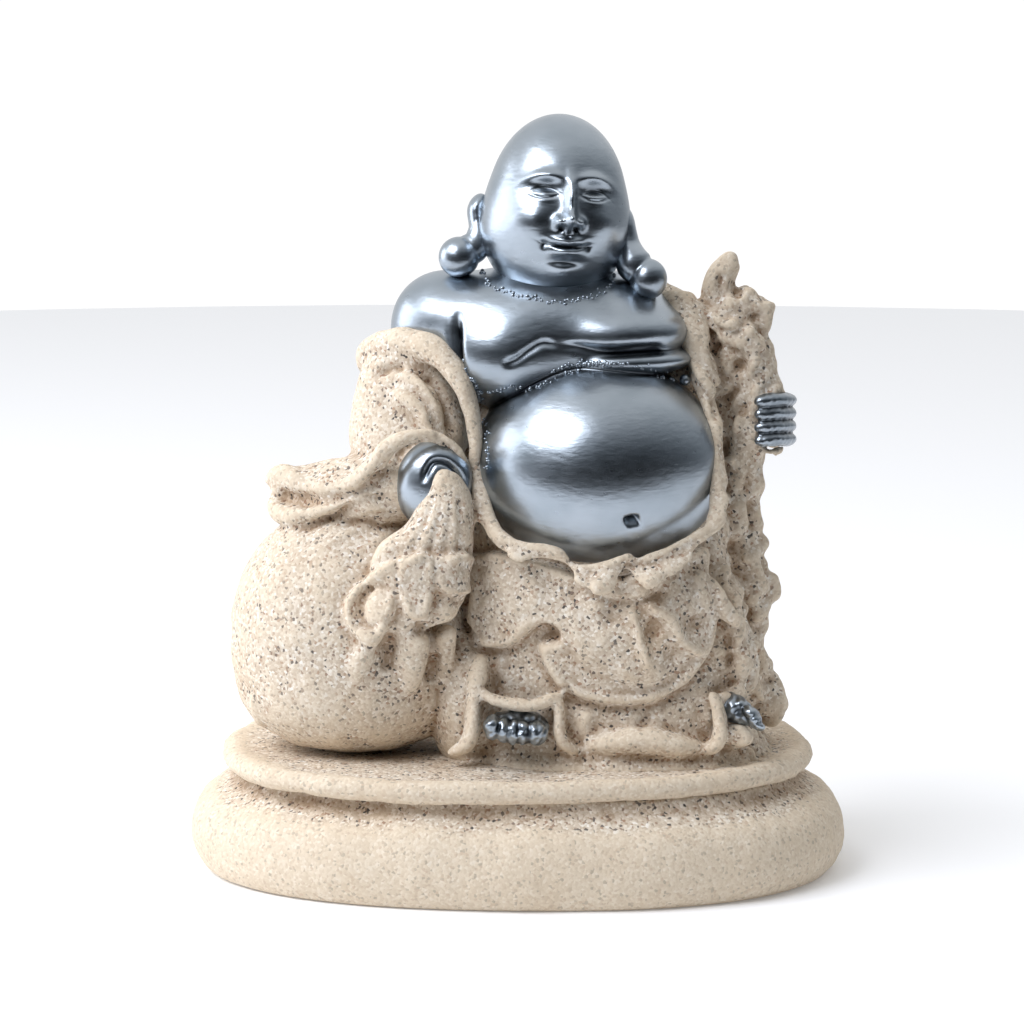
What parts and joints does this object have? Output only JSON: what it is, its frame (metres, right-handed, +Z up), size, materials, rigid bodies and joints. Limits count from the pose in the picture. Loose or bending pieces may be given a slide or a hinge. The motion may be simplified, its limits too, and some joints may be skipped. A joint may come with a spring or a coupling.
{
  "type": "wealth buddha statuette",
  "caption": "Small cast statuette of a standing, round-bellied monk with a sack and a gnarled staff, on a two-tier oval base.",
  "frame": {"origin": "on the ground under the middle of the base", "axes": "+Z up the figure, -Y to the front, where the figure looks, +X towards the staff"},
  "size_m": [0.1012, 0.0714, 0.1159],
  "materials": {
    "sandstone_resin": "sand bound in resin, cream with dark, orange and pink grains, matt, smoother and paler on the hems",
    "silver_lacquer": "blue-grey silver lacquer brushed on the skin, satin gloss, slightly hammered, darker in the creases"
  },
  "bodies": {
    "root": {"statuette": "sandstone_resin"}
  },
  "joints": []
}
